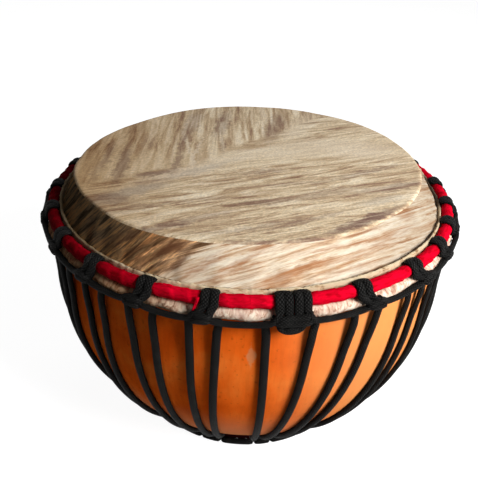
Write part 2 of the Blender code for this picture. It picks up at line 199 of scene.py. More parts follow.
class Paint:
    """Builds the nodes of one material."""

    def __init__(self, name, **values):
        self.material = bpy.data.materials.new(name)
        self.material.use_nodes = True
        self.tree = self.material.node_tree
        self.shader = self.tree.nodes["Principled BSDF"]
        for key, value in values.items():
            self.shader.inputs[key.replace("_", " ")].default_value = value

    def put(self, socket, value):
        if isinstance(value, bpy.types.NodeSocket):
            self.tree.links.new(value, socket)
        else:
            socket.default_value = value

    def node(self, kind, inputs, out=0, **settings):
        made = self.tree.nodes.new(kind)
        for key, value in settings.items():
            setattr(made, key, value)
        for key, value in inputs.items():
            self.put(made.inputs[key], value)
        return made.outputs[out]

    def calc(self, operation, *values):
        return self.node("ShaderNodeMath", dict(enumerate(values)), operation=operation)

    def times(self, *values):
        return self.calc("MULTIPLY", *values)

    def plus(self, *values):
        return self.calc("ADD", *values)

    def minus(self, *values):
        return self.calc("SUBTRACT", *values)

    def span(self, value, low, high, to_low=0.0, to_high=1.0):
        inputs = {"Value": value, "From Min": low, "From Max": high, "To Min": to_low, "To Max": to_high}
        return self.node("ShaderNodeMapRange", inputs, interpolation_type="SMOOTHSTEP")

    def join(self, x, y, z=0.0):
        return self.node("ShaderNodeCombineXYZ", {0: x, 1: y, 2: z})

    def noise(self, vector, scale, detail=3.0, roughness=0.55, distortion=0.0):
        inputs = {"Vector": vector, "Scale": scale, "Detail": detail, "Roughness": roughness,
                  "Distortion": distortion}
        return self.node("ShaderNodeTexNoise", inputs)

    def drawn(self, u, v, along_u, along_v, detail=3.0, roughness=0.55, distortion=0.0, seed=0.0):
        """Noise with a scale of its own along u and along v."""
        vector = self.join(self.times(u, along_u), self.times(v, along_v), seed)
        return self.noise(vector, 1.0, detail, roughness, distortion)

    def ramp(self, factor, *stops):
        made = self.tree.nodes.new("ShaderNodeValToRGB")
        self.put(made.inputs[0], factor)
        points = made.color_ramp.elements
        while len(points) < len(stops):
            points.new(0.5)
        for point, (position, colour) in zip(points, stops):
            point.position = position
            point.color = (*colour, 1.0)
        return made.outputs[0]

    def mix(self, factor, first, second, blend="MIX"):
        made = self.tree.nodes.new("ShaderNodeMix")
        made.data_type = "RGBA"
        made.blend_type = blend
        self.put(made.inputs[0], factor)
        for socket, value in ((made.inputs[6], first), (made.inputs[7], second)):
            self.put(socket, value if isinstance(value, bpy.types.NodeSocket) else (*value, 1.0))
        return made.outputs[2]

    def dyed(self, share, tone, dye):
        """A colour multiplied by another, by a share of its full strength."""
        return self.mix(share, tone, dye, "MULTIPLY")

    def weighed(self, tone, weight, green=1.0, blue=1.0):
        """A colour times a weight, with less of it for green and blue where these are under 1."""
        return self.dyed(1.0, tone, self.join(weight, self.times(weight, green), self.times(weight, blue)))

    def patches(self, vector, table, soft=0.55):
        """Strength of soft oval patches, each a row of one of the lists of marks."""
        total = 0.0
        for u, v, degrees, long, wide, depth in table:
            inputs = {"Vector": vector, "Location": (u, v, 0), "Rotation": (0, 0, radians(degrees)),
                      "Scale": (long, wide, 1)}
            local = self.node("ShaderNodeMapping", inputs, vector_type="TEXTURE")
            away = self.node("ShaderNodeVectorMath", {0: local}, out=1, operation="LENGTH")
            total = self.calc("MAXIMUM", total, self.span(away, 1.0 + soft, 1.0 - soft, 0.0, depth))
        return total

    def where(self):
        """Position on the drum, and its separate numbers."""
        spot = self.node("ShaderNodeTexCoord", {}, out=3)
        parts = self.tree.nodes.new("ShaderNodeSeparateXYZ")
        self.put(parts.inputs[0], spot)
        return spot, parts.outputs[0], parts.outputs[1], parts.outputs[2]

    def turn(self, x, y):
        """Distance round the drum from its front, in metres at the ring."""
        angle = self.calc("ARCTAN2", x, self.times(y, -1.0))
        return self.times(angle, RING_RADIUS)

    def uv(self):
        made = self.tree.nodes.new("ShaderNodeUVMap")
        made.uv_map = "UVMap"
        parts = self.tree.nodes.new("ShaderNodeSeparateXYZ")
        self.put(parts.inputs[0], made.outputs[0])
        return parts.outputs[0], parts.outputs[1]

    def finish(self, colour=None, roughness=None, height=None, depth=0.0005, strength=1.0):
        if colour is not None:
            self.put(self.shader.inputs["Base Color"], colour)
        if roughness is not None:
            self.put(self.shader.inputs["Roughness"], roughness)
        if height is not None:
            bump = {"Height": height, "Distance": depth, "Strength": strength}
            self.put(self.shader.inputs["Normal"], self.node("ShaderNodeBump", bump))
        return self.material


def lacquer():
    """Orange lacquer over pale wood, with faint grain, blotches and small scuffs, a painted highlight that
    makes it paler to the right, and painted shade at the far left.
    """
    p = Paint("shell_lacquer", Specular_IOR_Level=0.0)
    spot, x, y, z = p.where()
    along = p.turn(x, y)
    blotch = p.noise(spot, 26.0, 4.0, 0.6)
    fine = p.drawn(along, z, 300.0, 45.0, 4.0, 0.6, 0.4)
    speck = p.noise(spot, 420.0, 2.0, 0.5)
    base = p.ramp(blotch, (0.30, (0.76, 0.098, 0.005)), (0.52, (0.91, 0.148, 0.012)),
                  (0.72, (0.95, 0.215, 0.030)))
    grain = p.ramp(fine, (0.30, (0.80, 0.74, 0.70)), (0.62, WHITE))
    base = p.dyed(0.55, base, grain)
    dots = p.ramp(speck, (0.27, (0.45, 0.32, 0.25)), (0.36, WHITE))
    base = p.dyed(0.45, base, dots)
    # painted highlight: the lacquer is painted paler orange towards the right
    base = p.mix(p.span(x, 0.0, 0.085, 0.0, 0.80), base, (0.86, 0.34, 0.105))
    # painted shade: the lacquer is painted darker at the far left, where the lamp does not reach
    dark = p.span(x, -0.134, -0.112, 0.30, 1.0)
    base = p.dyed(1.0, base, p.join(dark, p.calc("POWER", dark, 0.9), p.calc("POWER", dark, 0.6)))
    low = p.plus(z, p.times(blotch, 0.012))
    edge = p.times(p.span(low, 0.104, 0.052, 0.0, 0.80), p.span(x, 0.060, 0.010))
    base = p.mix(edge, base, (0.98, 0.37, 0.17))
    off = p.calc("ABSOLUTE", p.plus(along, -0.0015))
    drop = p.calc("ABSOLUTE", p.plus(z, -0.150))
    away = p.plus(p.times(off, 1.6), p.times(drop, 0.62))
    away = p.plus(away, p.times(p.noise(spot, 150.0, 4.0, 0.7), 0.012))
    base = p.mix(p.span(away, 0.0135, 0.0105, 0.0, 0.45), base, (0.62, 0.36, 0.17))
    rough = p.span(fine, 0.3, 0.7, 0.42, 0.30)
    return p.finish(base, rough, p.plus(fine, p.times(speck, 0.4)), 0.00012, 0.5)


def streaks(p, u, v, degrees, across, along, seed=0.0, detail=6.0, roughness=0.62, distortion=0.35):
    """Noise drawn out along a direction in the plane of u and v."""
    turn = radians(degrees)
    way = p.plus(p.times(u, cos(turn)), p.times(v, sin(turn)))
    off = p.minus(p.times(v, cos(turn)), p.times(u, sin(turn)))
    vector = p.join(p.times(way, along), p.times(off, across), seed)
    return p.noise(vector, 1.0, detail, roughness, distortion)


def wobbled(p, u, v, spot, reach):
    """The point (u, v) moved about a little, so that marks get ragged edges."""
    shift = p.join(p.noise(spot, 190.0, 3.0, 0.6), p.noise(spot, 150.0, 3.0, 0.6))
    shift = p.node("ShaderNodeVectorMath", {0: shift, 1: (0.5, 0.5, 0.0)}, operation="SUBTRACT")
    shift = p.node("ShaderNodeVectorMath", {0: shift, "Scale": reach}, operation="SCALE")
    return p.node("ShaderNodeVectorMath", {0: p.join(u, v), 1: shift}, operation="ADD")


def head_skin():
    """The flat of the head: grey-beige goatskin with purple-brown streaks in two directions, with painted
    shade to its left and painted light to its right.
    """
    p = Paint("head_skin", Roughness=0.6, Specular_IOR_Level=0.04)
    spot, x, y, _ = p.where()
    level = streaks(p, x, y, 21, 190.0, 23.0, 1.3, 8.0, 0.72, 0.9)
    steep = streaks(p, x, y, 90, 150.0, 15.0, 5.1, 8.0, 0.68, 0.5)
    wide = streaks(p, x, y, 24, 34.0, 12.0, 8.4)
    tall = streaks(p, x, y, 91, 62.0, 9.0, 3.7, 4.0)
    past = p.plus(x, 0.0386)
    border = p.calc("MAXIMUM", p.times(past, 0.55), p.times(past, 1.10))
    border = p.plus(p.minus(y, border), 0.0110)
    border = p.plus(border, p.times(p.minus(wide, 0.5), 0.04))
    back = p.span(border, -0.004, 0.012)
    front = p.minus(1.0, back)
    mixed = p.plus(p.times(steep, back), p.times(level, front))
    swirl = p.minus(y, p.plus(p.times(x, 0.25), 0.010))
    calm = p.span(p.calc("ABSOLUTE", swirl), 0.032, 0.008, 0.0, 0.55)
    mixed = p.plus(mixed, p.times(p.minus(0.56, mixed), calm))
    wide = p.plus(p.times(tall, back), p.times(wide, front))
    tone = p.ramp(mixed, (0.34, (0.29, 0.175, 0.118)), (0.43, (0.50, 0.365, 0.228)),
                  (0.51, (0.70, 0.570, 0.375)), (0.63, (0.90, 0.800, 0.610)))
    shade = p.ramp(wide, (0.34, (0.66, 0.57, 0.50)), (0.50, WHITE))
    tone = p.dyed(0.8, tone, shade)
    spread = wobbled(p, x, y, spot, 0.012)
    grain = p.span(mixed, 0.36, 0.62, 0.55, 1.0)
    tone = p.mix(p.times(p.patches(spread, HEAD_PALE), grain), tone, (0.80, 0.70, 0.54))
    tone = p.mix(p.patches(spread, HEAD_GREY), tone, (0.42, 0.37, 0.31))
    grain = p.span(mixed, 0.62, 0.36, 0.6, 1.0)
    tone = p.mix(p.times(p.patches(spread, HEAD_DARK), grain), tone, (0.185, 0.105, 0.085))
    fibre = streaks(p, x, y, 34, 800.0, 260.0, 2.2)
    tone = p.dyed(0.6, tone, p.ramp(fibre, (0.33, (0.74, 0.70, 0.66)), (0.6, (1.10, 1.08, 1.05))))
    mottle = p.noise(spot, 560.0, 3.0, 0.65)
    tone = p.dyed(0.7, tone, p.ramp(mottle, (0.37, (0.82, 0.80, 0.79)), (0.60, (1.14, 1.13, 1.10))))
    # painted shade and painted light: a dimmed copy of the tone on the left blends into a lit copy on the
    # right
    dim = p.dyed(1.0, tone, (0.80, 0.67, 0.55))
    lit = p.dyed(1.0, tone, (1.10, 1.09, 1.12))
    tone = p.mix(p.span(x, -0.13, -0.02), dim, lit)
    rough = p.span(mixed, 0.35, 0.65, 0.62, 0.50)
    height = p.plus(mixed, p.times(fibre, 0.5))
    return p.finish(tone, rough, height, 0.00025, 0.5)


def collar_skin():
    """The skin down the side of the head: cream with tan streaks, dark brown round the left, and painted
    shade towards the right.
    """
    p = Paint("collar_skin", Roughness=0.62, Specular_IOR_Level=0.0)
    spot, x, y, z = p.where()
    slope = p.plus(y, p.times(p.minus(z, RING_HEIGHT), 1.66))
    left = p.span(x, -0.025, -0.070)
    right = p.minus(1.0, left)

    def both(across, along, seed, detail, roughness, distortion):
        one = streaks(p, x, slope, 31, across, along, seed, detail, roughness, distortion)
        two = streaks(p, x, slope, 56, across, along, seed + 3.0, detail, roughness, distortion)
        return p.plus(p.times(one, right), p.times(two, left))

    fine = both(210.0, 24.0, 3.0, 7.0, 0.68, 0.5)
    broad = both(62.0, 10.0, 6.5, 4.0, 0.55, 0.3)
    hair = both(900.0, 190.0, 9.0, 4.0, 0.6, 0.3)
    calm = p.noise(spot, 26.0, 3.0, 0.5)
    cream = p.ramp(fine, (0.38, (0.38, 0.205, 0.115)), (0.44, (0.58, 0.395, 0.250)),
                   (0.50, (0.72, 0.595, 0.445)), (0.58, (0.84, 0.770, 0.640)))
    cream = p.mix(p.span(calm, 0.42, 0.64, 0.0, 0.3), cream, (0.69, 0.565, 0.415))
    cream = p.dyed(0.85, cream, p.ramp(broad, (0.36, (0.72, 0.53, 0.39)), (0.50, WHITE)))
    ragged = wobbled(p, x, slope, spot, 0.008)
    grain = p.span(fine, 0.36, 0.60, 0.55, 1.0)
    cream = p.mix(p.times(p.patches(ragged, COLLAR_CREAM), grain), cream, (0.82, 0.76, 0.64))
    grain = p.span(fine, 0.64, 0.36, 0.5, 1.0)
    cream = p.mix(p.times(p.patches(ragged, COLLAR_TAN), grain), cream, (0.42, 0.200, 0.095))
    # painted shade: the cream is painted darker towards the right
    far = p.span(x, 0.020, 0.115, 1.04, 0.63)
    cream = p.weighed(cream, far, 0.97, 0.94)
    side = p.minus(x, p.times(p.plus(slope, 0.124), 0.70))
    side = p.plus(side, p.times(p.minus(fine, 0.5), 0.055))
    side = p.plus(side, p.span(y, 0.04, 0.10, 0.052, 0.112))
    grain = p.plus(p.times(p.minus(fine, 0.5), 1.25), p.span(side, -0.092, 0.002))
    brown = p.ramp(grain, (0.0, (0.250, 0.175, 0.105)), (0.16, (0.240, 0.155, 0.088)),
                   (0.34, (0.26, 0.160, 0.082)), (0.56, (0.32, 0.180, 0.085)),
                   (0.72, (0.36, 0.185, 0.090)), (1.0, (0.52, 0.33, 0.19)))
    shade = p.ramp(fine, (0.40, (0.36, 0.34, 0.32)), (0.49, WHITE), (0.58, (2.4, 2.10, 1.6)))
    brown = p.dyed(1.0, brown, shade)
    tone = p.mix(p.span(side, -0.006, 0.004), brown, cream)
    gold = p.times(p.patches(ragged, COLLAR_GOLD), p.span(fine, 0.40, 0.62, 0.5, 1.0))
    tone = p.mix(gold, tone, (0.44, 0.30, 0.15))
    tone = p.mix(p.patches(ragged, COLLAR_DARK), tone, (0.15, 0.062, 0.030))
    tone = p.dyed(0.45, tone, p.ramp(hair, (0.34, (0.66, 0.60, 0.55)), (0.6, (1.1, 1.08, 1.04))))
    height = p.plus(fine, p.times(hair, 0.5))
    return p.finish(tone, p.span(fine, 0.3, 0.7, 0.68, 0.5), height, 0.0004, 0.5)


def lip_skin():
    """The raw edge of the skin: cream, with painted shade in the fold behind it, broken into dark dashes,
    and a painted shadow at the far right.
    """
    p = Paint("lip_skin", Roughness=0.75, Specular_IOR_Level=0.15)
    spot, x, y, z = p.where()
    along = p.turn(x, y)
    rise = p.minus(z, RING_HEIGHT)
    marks = p.drawn(along, rise, 170.0, 330.0, 4.0, 0.65)
    tone = p.ramp(marks, (0.31, (0.20, 0.10, 0.045)), (0.40, (0.58, 0.42, 0.24)),
                  (0.50, (0.78, 0.66, 0.44)))
    radius = p.calc("SQRT", p.plus(p.times(x, x), p.times(y, y)))
    # painted shade in the fold behind the lip, broken up by noise, at the front only
    crease = p.span(p.noise(spot, 75.0, 3.0, 0.6), 0.40, 0.52, 0.1, 0.95)
    crease = p.times(p.span(radius, LIP_RADIUS, LIP_RADIUS - 0.0005), crease)
    crease = p.times(crease, p.span(y, -0.030, -0.055))
    tone = p.weighed(tone, p.span(x, -0.02, 0.05, 0.90, 0.74), 0.95, 0.93)
    tone = p.mix(crease, tone, (0.10, 0.048, 0.026))
    left = p.span(along, -0.125, -0.075)
    tone = p.mix(left, p.mix(0.75, tone, (0.16, 0.10, 0.045)), tone)
    # painted shadow: the lip is painted near black between the collar and the crown ring at the far right
    shaded = p.times(p.span(y, -0.036, -0.020), p.span(y, 0.030, 0.020))
    shaded = p.times(shaded, p.span(x, 0.10, 0.12, 0.0, 0.92))
    tone = p.mix(shaded, tone, (0.030, 0.014, 0.008))
    return p.finish(tone, 0.75, marks, 0.0005, 0.7)


def hair_skin():
    """The hair side of the skin round the flesh hoop: pale, fuzzy, with brown flecks."""
    p = Paint("hair_skin", Roughness=0.9, Specular_IOR_Level=0.0)
    spot, x, y, z = p.where()
    along = p.turn(x, y)
    fleck = p.drawn(along, z, 330.0, 210.0, 4.0, 0.65, 0.8)
    patch = p.noise(spot, 85.0, 3.0, 0.6)
    tone = p.ramp(fleck, (0.33, (0.24, 0.10, 0.06)), (0.43, (0.60, 0.38, 0.27)),
                  (0.52, (0.78, 0.62, 0.48)), (0.62, (0.90, 0.79, 0.64)))
    tone = p.mix(p.span(patch, 0.55, 0.70, 0.0, 0.6), tone, (0.56, 0.32, 0.25))
    left = p.span(x, -0.085, -0.020, 0.95, 0.0)
    tone = p.mix(left, tone, p.dyed(1.0, tone, (1.04, 0.74, 0.50)))
    fibres = p.drawn(along, z, 1400.0, 330.0, 3.0, 0.6)
    return p.finish(tone, 0.9, p.plus(fleck, fibres), 0.0006, 0.7)


def cloth(name, deep, bright):
    """Woven cotton strip wound round a ring, painted darker towards the left as painted shade. u runs along
    the ring and v round it, both in metres.
    """
    p = Paint(name, Roughness=0.85, Specular_IOR_Level=0.02)
    u, v = p.uv()
    turns = 2 * math.pi / CLOTH_PITCH
    warp = p.calc("SINE", p.times(p.plus(u, v), turns))
    weft = p.calc("SINE", p.times(p.minus(u, v), turns))
    weave = p.times(warp, weft)
    crease = p.drawn(u, v, 150.0, 420.0, 4.0, 0.6, 0.5)
    soft = p.drawn(u, v, 60.0, 60.0, 3.0, 0.6, seed=4.0)
    tone = p.ramp(crease, (0.34, deep), (0.56, bright))
    tone = p.mix(p.span(soft, 0.4, 0.65, 0.0, 0.35), tone, deep)
    # painted shade: the cloth is painted darker towards the left
    left_shade = p.span(p.where()[1], -0.135, -0.035, 0.24, 1.0)
    tone = p.weighed(tone, p.times(p.plus(p.times(weave, 0.10), 0.92), left_shade))
    height = p.plus(p.times(weave, 0.12), crease)
    return p.finish(tone, 0.85, height, 0.0006, 0.6)


def braid():
    """Black braided cord, with painted shade in the hollows of its weave and a painted highlight on its
    ridges. u runs along the cord in metres and v once round it.
    """
    p = Paint("cord_braid", Roughness=0.7, Specular_IOR_Level=0.04)
    u, v = p.uv()
    run = p.times(u, 2 * math.pi / BRAID_PITCH)
    across = p.times(v, 2 * math.pi * BRAID_STRANDS)
    first = p.calc("SINE", p.plus(run, across))
    second = p.calc("SINE", p.minus(run, across))
    weave = p.calc("ABSOLUTE", p.times(first, second))
    thread = p.calc("SINE", p.plus(p.times(run, 5.0), p.times(across, 3.0)))
    height = p.plus(weave, p.times(thread, 0.08))
    worn = p.noise(p.join(p.times(u, 90.0), v), 1.0, 4.0, 0.6)
    # painted shade and painted highlight: darker in the hollows of the weave, lighter on its ridges
    tone = p.ramp(weave, (0.12, (0.0008, 0.0007, 0.0007)), (0.80, (0.0210, 0.0205, 0.0195)))
    tone = p.mix(p.span(worn, 0.5, 0.75, 0.0, 0.5), tone, (0.036, 0.035, 0.033))
    return p.finish(tone, p.span(weave, 0.0, 1.0, 0.75, 0.5), height, 0.0006, 0.9)


def steel():
    """Plain dark rod, rough from the mill."""
    p = Paint("rod_steel", Metallic=1.0, Roughness=0.5)
    scale = p.noise(p.where()[0], 260.0, 5.0, 0.65)
    tone = p.ramp(scale, (0.35, (0.09, 0.07, 0.06)), (0.6, (0.30, 0.29, 0.28)))
    return p.finish(tone, p.span(scale, 0.3, 0.7, 0.65, 0.4), scale, 0.0002, 0.4)


# Meshes

def lattice(name, rows, us, vs, close_u, close_v, ends=False):
    """Mesh over a table of points, with a UV for each. A closed way has one more UV value than points."""
    rows = np.asarray(rows, dtype=float)
    count_u, count_v = rows.shape[:2]
    faces = []
    corners = []
    for i in range(count_u if close_u else count_u - 1):
        for j in range(count_v if close_v else count_v - 1):
            ni = (i + 1) % count_u
            nj = (j + 1) % count_v
            faces.append((i * count_v + j, ni * count_v + j, ni * count_v + nj, i * count_v + nj))
            corners += [us[i], vs[j], us[i + 1], vs[j], us[i + 1], vs[j + 1], us[i], vs[j + 1]]
    if ends:
        first = list(range(count_v))
        last = [(count_u - 1) * count_v + j for j in range(count_v)]
        faces += [tuple(first[::-1]), tuple(last)]
        for edge in (us[0], us[count_u - 1]):
            corners += [edge, 0.0] * count_v
    mesh = bpy.data.meshes.new(name)
    mesh.from_pydata(rows.reshape(-1, 3).tolist(), [], faces)
    layer = mesh.uv_layers.new(name="UVMap")
    layer.data.foreach_set("uv", corners)
    mesh.validate()
    mesh.shade_smooth()
    obj = bpy.data.objects.new(name, mesh)
    bpy.context.scene.collection.objects.link(obj)
    return obj


def add_piece(obj, material, slot, *nodes):
    if not obj.data.materials:
        obj.data.materials.append(material)
    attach(obj, "root")
    if nodes:
        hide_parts(*nodes)


def place(azimuth, radius, height):
    angle = radians(azimuth)
    return Vector((radius * sin(angle), -radius * cos(angle), height))


def folded(azimuth):
    """The same azimuth between -180 and 180 degrees."""
    return (azimuth + 180) % 360 - 180


def held(share):
    """A share kept between 0 and 1."""
    return min(1.0, max(0.0, share))


def bell(value, power=2):
    return math.exp(-(value ** power))


def near_ring(azimuth, along, out, rise):
    return place(azimuth + math.degrees(along / RING_RADIUS), RING_RADIUS + out, RING_HEIGHT + rise)


def curved(points, step):
    """A smooth line through points, with a point about every step."""
    ends = [2 * points[0] - points[1]] + list(points) + [2 * points[-1] - points[-2]]
    line = []
    for a, b, c, d in zip(ends, ends[1:], ends[2:], ends[3:]):
        t1 = max((b - a).length, 1e-6) ** 0.5
        t2 = t1 + max((c - b).length, 1e-6) ** 0.5
        t3 = t2 + max((d - c).length, 1e-6) ** 0.5
        count = max(1, round((c - b).length / step))
        for i in range(count):
            t = t1 + (t2 - t1) * i / count
            ab = a.lerp(b, t / t1)
            bc = b.lerp(c, (t - t1) / (t2 - t1))
            cd = c.lerp(d, (t - t2) / (t3 - t2))
            abc = ab.lerp(bc, t / t2)
            bcd = bc.lerp(cd, (t - t1) / (t3 - t1))
            line.append(abc.lerp(bcd, (t - t1) / (t2 - t1)))
    line.append(points[-1].copy())
    return line


def cord_piece(name, points, radius, sides=10, taper=False, shape=None):
    """A cord along a line of points. shape gives its flat side's direction and its two half widths."""
    rows = []
    us = []
    run = 0.0
    normal = None
    last = len(points) - 1
    for i, point in enumerate(points):
        way = (points[min(i + 1, last)] - points[max(i - 1, 0)]).normalized()
        wide = thin = radius
        if shape:
            normal, wide, thin = shape(point)
        elif normal is None:
            normal = way.orthogonal()
        normal = (normal - way * normal.dot(way)).normalized()
        other = way.cross(normal)
        if i:
            run += (point - points[i - 1]).length
        if taper:
            wide = thin = radius * min(1.0, 0.45 + 0.55 * min(i, last - i) / 3)
        ring = []
        for j in range(sides):
            angle = math.tau * j / sides
            ring.append(tuple(point + thin * cos(angle) * normal + wide * sin(angle) * other))
        rows.append(ring)
        us.append(run)
    vs = [j / sides for j in range(sides + 1)]
    return lattice(name, rows, us, vs, False, True, ends=True)


# Shell and head

def edge_drift(azimuth):
    """How far the hand-cut bearing edge is out of round, in metres."""
    weights = [bell(folded(folded(azimuth) - turn) / 7.5) for turn in EDGE_TURNS]
    return 0.001 * sum(weight * drift for weight, drift in zip(weights, EDGE_DRIFT)) / sum(weights)


def bowl_line(fine):
    """Outside of the shell under the hoop, as (radius, height, angle of its face under level)."""
    centre = RING_HEIGHT - BELLY_DROP
    rise = BELLY_DROP - HOOP_DROP
    upper = rise / math.sqrt(1 - (SEAT_RADIUS / BELLY_RADIUS) ** 2)
    lower = centre + UNDERSIDE_FLAT
    line = []
    first = math.asin(rise / upper)
    for i in range(1, fine + 1):
        turn = first * (i / fine - 1)
        face = math.atan2(sin(turn) / upper, cos(turn) / BELLY_RADIUS)
        line.append((BELLY_RADIUS * cos(turn), centre - upper * sin(turn), face))
    last = math.atan(math.tan(KNUCKLE_START) * lower / BELLY_RADIUS)
    for i in range(1, 2 * fine + 1):
        turn = last * i / (2 * fine)
        face = math.atan2(sin(turn) / lower, cos(turn) / BELLY_RADIUS)
        line.append((BELLY_RADIUS * cos(turn), centre - lower * sin(turn), face))
    hub_radius = line[-1][0] - KNUCKLE_RADIUS * cos(KNUCKLE_START)
    hub_height = line[-1][1] + KNUCKLE_RADIUS * sin(KNUCKLE_START)
    for i in range(1, fine + 1):
        face = KNUCKLE_START + (KNUCKLE_END - KNUCKLE_START) * i / fine
        radius = hub_radius + KNUCKLE_RADIUS * cos(face)
        line.append((radius, hub_height - KNUCKLE_RADIUS * sin(face), face))
    return line


def lifted(point, distance):
    radius, height, face = point
    return radius + distance * cos(face), height - distance * sin(face)


def smooth_turn(name, section, segments, shift=None):
    """Spins an open line of (radius, height) points round the drum's axis."""
    rows = []
    for i in range(segments):
        azimuth = 360.0 * i / segments
        row = []
        for k, (radius, height) in enumerate(section):
            out, rise = shift(azimuth, k, radius, height) if shift else (0.0, 0.0)
            row.append(tuple(place(azimuth, radius + out, height + rise)))
        rows.append(row)
    us = [math.tau * RING_RADIUS * i / segments for i in range(segments + 1)]
    vs = [0.0]
    for a, b in zip(section, section[1:]):
        vs.append(vs[-1] + math.dist(a, b))
    return lattice(name, rows, us, vs, True, False)


def make_shell(material):
    bowl = bowl_line(8)
    outside = [(radius, height) for radius, height, face in bowl]
    top = [
        (0.1170, RING_HEIGHT + HEAD_RISE - 0.0030),
        (0.1180, RING_HEIGHT + HEAD_RISE - 0.0012),
        (0.1262, RING_HEIGHT + HEAD_RISE - 0.0010),
        (0.1275, RING_HEIGHT + HEAD_RISE - 0.0024),
        (0.1414, RING_HEIGHT),
        (SEAT_RADIUS, RING_HEIGHT - HOOP_DROP),
    ]
    foot = [(0.060, 0.0096), (FOOT_RADIUS + 0.004, 0.0015), (FOOT_RADIUS + 0.001, 0.0003)]
    foot += [(FOOT_RADIUS, 0.0), (0.018, 0.0), (0.0005, 0.0)]
    inside = [(0.0005, SHELL_WALL), (FOOT_RADIUS, SHELL_WALL)]
    inside += [lifted(point, -SHELL_WALL) for point in bowl[::-3]]
    inside += [(0.1345, RING_HEIGHT - HOOP_DROP), (0.1170, RING_HEIGHT + HEAD_RISE - 0.0030)]

    def shift(azimuth, k, radius, height):
        share = (height - RING_HEIGHT + HOOP_DROP) / (HEAD_RISE + HOOP_DROP)
        return edge_drift(azimuth) * max(0.0, share), 0.0

    obj = smooth_turn("shell_bowl", top + outside + foot + inside, SHELL_SEGMENTS, shift)
    add_piece(obj, material, "shell", "shell")


def loop_azimuths():
    start = FRONT_STATIONS[-1]
    step = (360 + FRONT_STATIONS[0] - start) / (BACK_STATIONS + 1)
    back = [start + step * i for i in range(1, BACK_STATIONS + 1)]
    ring = [a for a in FRONT_STATIONS if a >= DOUBLE_STATION] + back
    return ring + [a + 360 for a in FRONT_STATIONS if a < DOUBLE_STATION]


def nearest_loop(azimuth):
    places = loop_azimuths()
    places += [places[0] + FIRST_LOOP, places[0] + LAST_LOOP]
    return min(abs(folded(azimuth - a)) for a in places)


def skin_line():
    """Section of the skin from the middle of the head to its raw edge and round the flesh hoop."""
    top = RING_HEIGHT + HEAD_RISE
    half = SKIN / 2
    line = [(0.00002, top + half)]
    line += [(radius, top + half) for radius in (0.03, 0.06, 0.09, 0.11, 0.12, 0.1255, 0.1270)]
    line += [(0.1279, top + half - 0.0003), (EDGE_RADIUS, top - 0.0006)]
    ends = [len(line) - 1]
    reach = COLLAR_FOOT + 0.0007 - EDGE_RADIUS
    for i in range(1, 13):
        share = i / 12
        line.append((EDGE_RADIUS + reach * share, top - 0.0006 - (HEAD_RISE - 0.0008) * share))
    ends.append(len(line) - 1)
    for out, height in ((-0.0012, 0.0020), (-0.0012, 0.0042), (-0.0002, 0.0047), (0.0006, 0.0040),
                        (0.0004, 0.0005), (0.0002, -0.0040)):
        line.append((LIP_RADIUS + out, RING_HEIGHT + height))
    ends.append(len(line) - 1)
    for i in range(15):
        turn = radians(128 - i * 21)
        height = RING_HEIGHT - HOOP_DROP + HOOP_OUT * sin(turn)
        line.append((RING_RADIUS + HOOP_OUT * cos(turn), height))
    return line, ends


def make_head(disc, collar, lip, hair):
    """The skin, with a material each for its flat, its side, its raw edge and the hoop."""
    line, (disc_end, collar_end, lip_end) = skin_line()

    def flat_shift(azimuth, k, radius, spot):
        if k < 4:
            return 0.0, 0.0
        return edge_drift(azimuth) * min(1.0, (radius / EDGE_RADIUS) ** 4), 0.00012 * noise.noise(spot * 90)

    def side_shift(azimuth, k, spot):
        share = (k - disc_end) / (collar_end - disc_end)
        pull = 0.00045 * cos(radians(azimuth) * 46 + 1.3 * noise.noise(spot * 25)) * share
        return edge_drift(azimuth) * (1 - share) + pull + 0.0006 * share * noise.noise(spot * 130), 0.0

    def lip_shift(azimuth, k, height):
        fray = noise.noise(Vector((azimuth * 1.9, k * 0.3, 0.0)))
        wave = noise.noise(Vector((azimuth * 0.45, 3.0, 0.0)))
        turn = folded(azimuth)
        up = 0.0009 * fray + 0.0008 * wave + 0.0014 * bell((turn - 36) / 26)
        up += 0.0050 * bell((turn - 112) / 13, 4) - 0.0021 * held((turn - 50) / 25)
        return 0.0004 * fray, up if height > RING_HEIGHT else 0.0

    def hoop_shift(azimuth, radius, height, spot):
        puff = -0.0004 + 0.0014 * (1 - bell(nearest_loop(azimuth) / 5.5))
        puff += 0.5 * max(0.0, side_ease(azimuth)[1])
        turn = math.atan2(height - RING_HEIGHT + HOOP_DROP, radius - RING_RADIUS)
        lump = 0.0007 * noise.noise(spot * 260) + 0.0006 * noise.noise(spot * 90)
        grow = max(0.0, cos(turn + 0.1)) ** 1.5 * (puff + lump)
        return grow * cos(turn), grow * sin(turn)

    def shift(azimuth, k, radius, height):
        spot = place(azimuth, radius, height)
        if k <= disc_end:
            return flat_shift(azimuth, k, radius, spot)
        if k <= collar_end:
            return side_shift(azimuth, k, spot)
        if k <= lip_end:
            return lip_shift(azimuth, k, height)
        return hoop_shift(azimuth, radius, height, spot)

    obj = smooth_turn("drum_skin", line, SKIN_SEGMENTS, shift)
    for material in (disc, collar, lip, hair):
        obj.data.materials.append(material)
    strips = len(line) - 1
    index = np.arange(len(obj.data.polygons)) % strips
    index = np.searchsorted((disc_end, collar_end, lip_end), index, side="right").astype(np.int32)
    obj.data.polygons.foreach_set("material_index", index)
    add_piece(obj, None, "drum_head", "drum_head")


# Cloth windings

